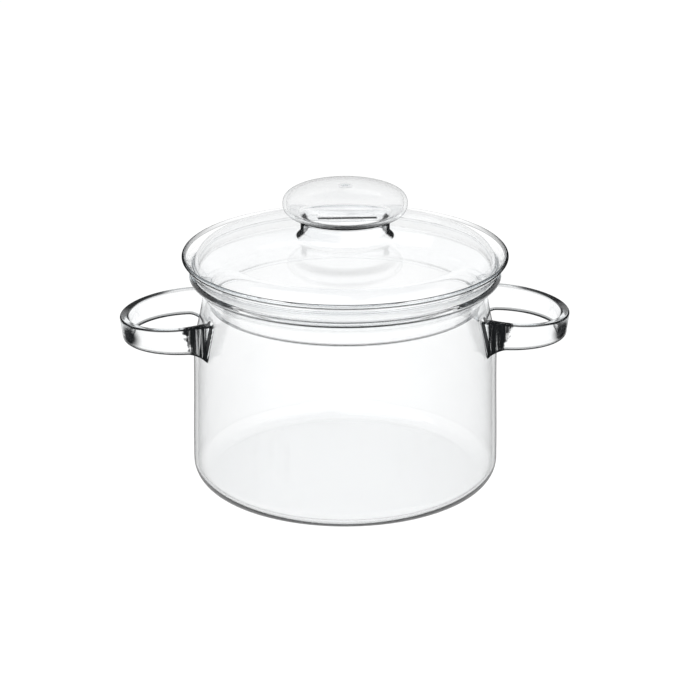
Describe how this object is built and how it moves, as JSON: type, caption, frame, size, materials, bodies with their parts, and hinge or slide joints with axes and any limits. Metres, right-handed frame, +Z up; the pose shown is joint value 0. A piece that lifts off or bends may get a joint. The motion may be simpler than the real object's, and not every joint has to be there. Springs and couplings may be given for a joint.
{
  "type": "glass cooking pot",
  "caption": "Clear blown-glass cooking pot with a flared rim, fused strap handles and a lift-off lid with upturned rim, hanging collar and hollow knob.",
  "frame": {"origin": "middle of the pot's flat bottom, on the surface that it stands on", "axes": "+Z up along the pot's axis, +X through the right handle, +Y to the back"},
  "size_m": [0.2366, 0.1706, 0.1604],
  "materials": {
    "pot_glass": "clear blown glass, fire-polished rim, faint cool grey tint at the edges",
    "handle_glass": "clear solid glass strap, rounded edges",
    "lid_glass": "clear blown glass, fire-polished rim",
    "knob_glass": "clear hollow blown glass"
  },
  "bodies": {
    "pot": {"vessel": "pot_glass", "left_handle": "handle_glass", "right_handle": "handle_glass"},
    "lid": {"lid_dome": "lid_glass", "lid_collar": "lid_glass", "lid_knob": "knob_glass"}
  },
  "joints": [
    {"name": "lid_lift", "type": "slide", "parent": "pot", "child": "lid", "axis": [0, 0, 1], "range_m": [0, 0.1]}
  ]
}
